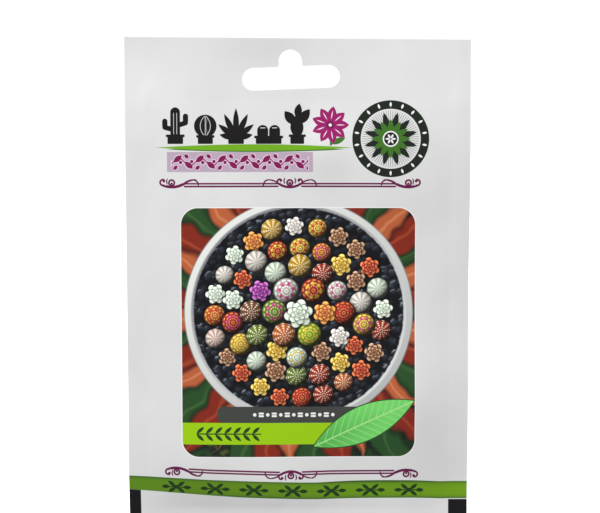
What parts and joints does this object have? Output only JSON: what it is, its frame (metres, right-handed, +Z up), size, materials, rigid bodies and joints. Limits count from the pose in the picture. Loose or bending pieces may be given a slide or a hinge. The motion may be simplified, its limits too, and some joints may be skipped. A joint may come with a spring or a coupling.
{
  "type": "seed packet",
  "caption": "Flat heat-sealed laminate sachet with a hang slot punched through its header and fine seeds sealed inside.",
  "frame": {"origin": "top of the hang slot's hump, where a peg carries the packet, on the plane where the two webs meet", "axes": "+Z up towards the header, the printed front looks along -Y, +X to the right of someone facing the front"},
  "size_m": [0.11, 0.0048, 0.1606],
  "materials": {
    "front_film": "pearly white laminate with a satin sheen, printed",
    "back_film": "pearly white laminate with a satin sheen, sparely printed",
    "seed_coat": "dry, finely pitted brown seed coat"
  },
  "bodies": {
    "root": {"front_web": "front_film", "back_web": "back_film", "seed_01": "seed_coat", "seed_02": "seed_coat", "seed_03": "seed_coat", "seed_04": "seed_coat", "seed_05": "seed_coat", "seed_06": "seed_coat", "seed_07": "seed_coat", "seed_08": "seed_coat", "seed_09": "seed_coat", "seed_10": "seed_coat", "seed_11": "seed_coat", "seed_12": "seed_coat", "seed_13": "seed_coat", "seed_14": "seed_coat", "seed_15": "seed_coat", "seed_16": "seed_coat", "seed_17": "seed_coat", "seed_18": "seed_coat", "seed_19": "seed_coat", "seed_20": "seed_coat", "seed_21": "seed_coat", "seed_22": "seed_coat", "seed_23": "seed_coat", "seed_24": "seed_coat"}
  },
  "joints": []
}
